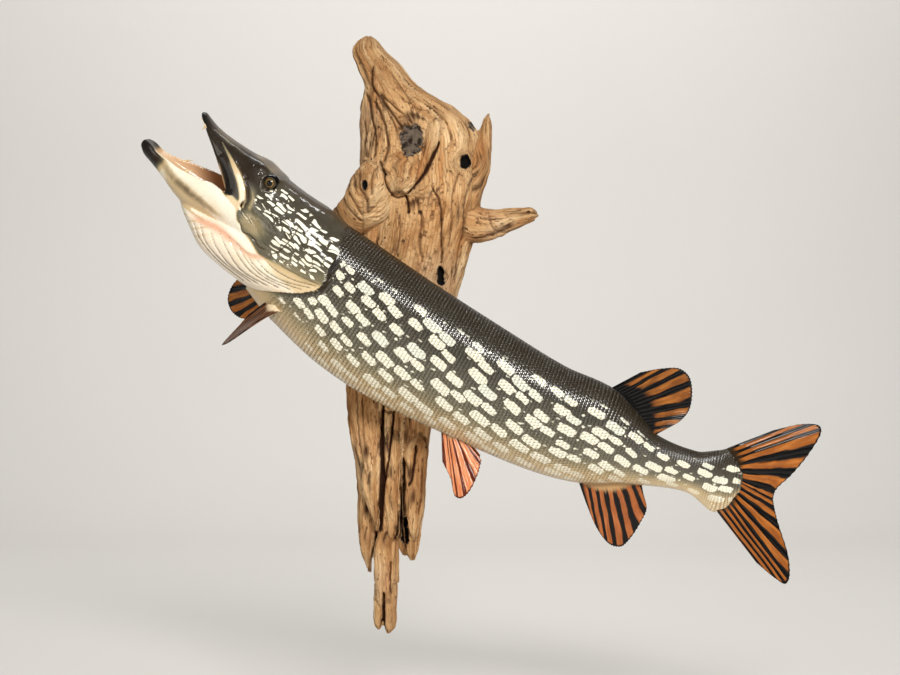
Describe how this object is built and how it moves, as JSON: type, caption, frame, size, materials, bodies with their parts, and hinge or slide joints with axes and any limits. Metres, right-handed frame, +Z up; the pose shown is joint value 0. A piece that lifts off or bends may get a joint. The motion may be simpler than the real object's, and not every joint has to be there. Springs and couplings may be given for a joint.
{
  "type": "mounted fish",
  "caption": "Life-size mounted pike, jaws open, head raised, on an upright piece of weathered driftwood that hangs flat on a wall.",
  "frame": {"origin": "on the flat sawn back of the driftwood, level with the middle of the fish", "axes": "+Y points into the wall, square to the driftwood's flat back; +Z is up; the fish's head points to -X and upwards"},
  "size_m": [0.9188, 0.2001, 0.836],
  "materials": {
    "body_skin": "varnished, dark olive with pale spots",
    "jaw_skin": "varnished cream",
    "lip_skin": "varnished, near black",
    "fin_skin": "varnished orange brown with dark bands",
    "eye": "glossy, dark with a gold iris",
    "driftwood": "bare, weathered",
    "hanger_steel": "plain"
  },
  "bodies": {
    "root": {"anal_fin": "fin_skin", "caudal_fin_lower": "fin_skin", "caudal_fin_upper": "fin_skin", "dorsal_fin": "fin_skin", "driftwood_branch": "driftwood", "driftwood_burl": "driftwood", "driftwood_crown": "driftwood", "driftwood_foot_centre": "driftwood", "driftwood_foot_left": "driftwood", "driftwood_foot_right": "driftwood", "driftwood_horn": "driftwood", "driftwood_knot": "driftwood", "driftwood_prong": "driftwood", "driftwood_ridge": "driftwood", "driftwood_splinter": "driftwood", "driftwood_stem": "driftwood", "eye_left": "eye", "eye_right": "eye", "gill_cover_left": "body_skin", "gill_cover_right": "body_skin", "hanger_plate": "hanger_steel", "head": "body_skin", "lower_jaw": "jaw_skin", "maxilla_left": "lip_skin", "maxilla_right": "lip_skin", "pectoral_fin_left": "fin_skin", "pectoral_fin_right": "fin_skin", "pelvic_fin_left": "fin_skin", "pelvic_fin_right": "fin_skin", "tail_stalk": "body_skin", "throat": "jaw_skin", "trunk_front": "body_skin", "trunk_middle": "body_skin", "trunk_rear": "body_skin"}
  },
  "joints": []
}
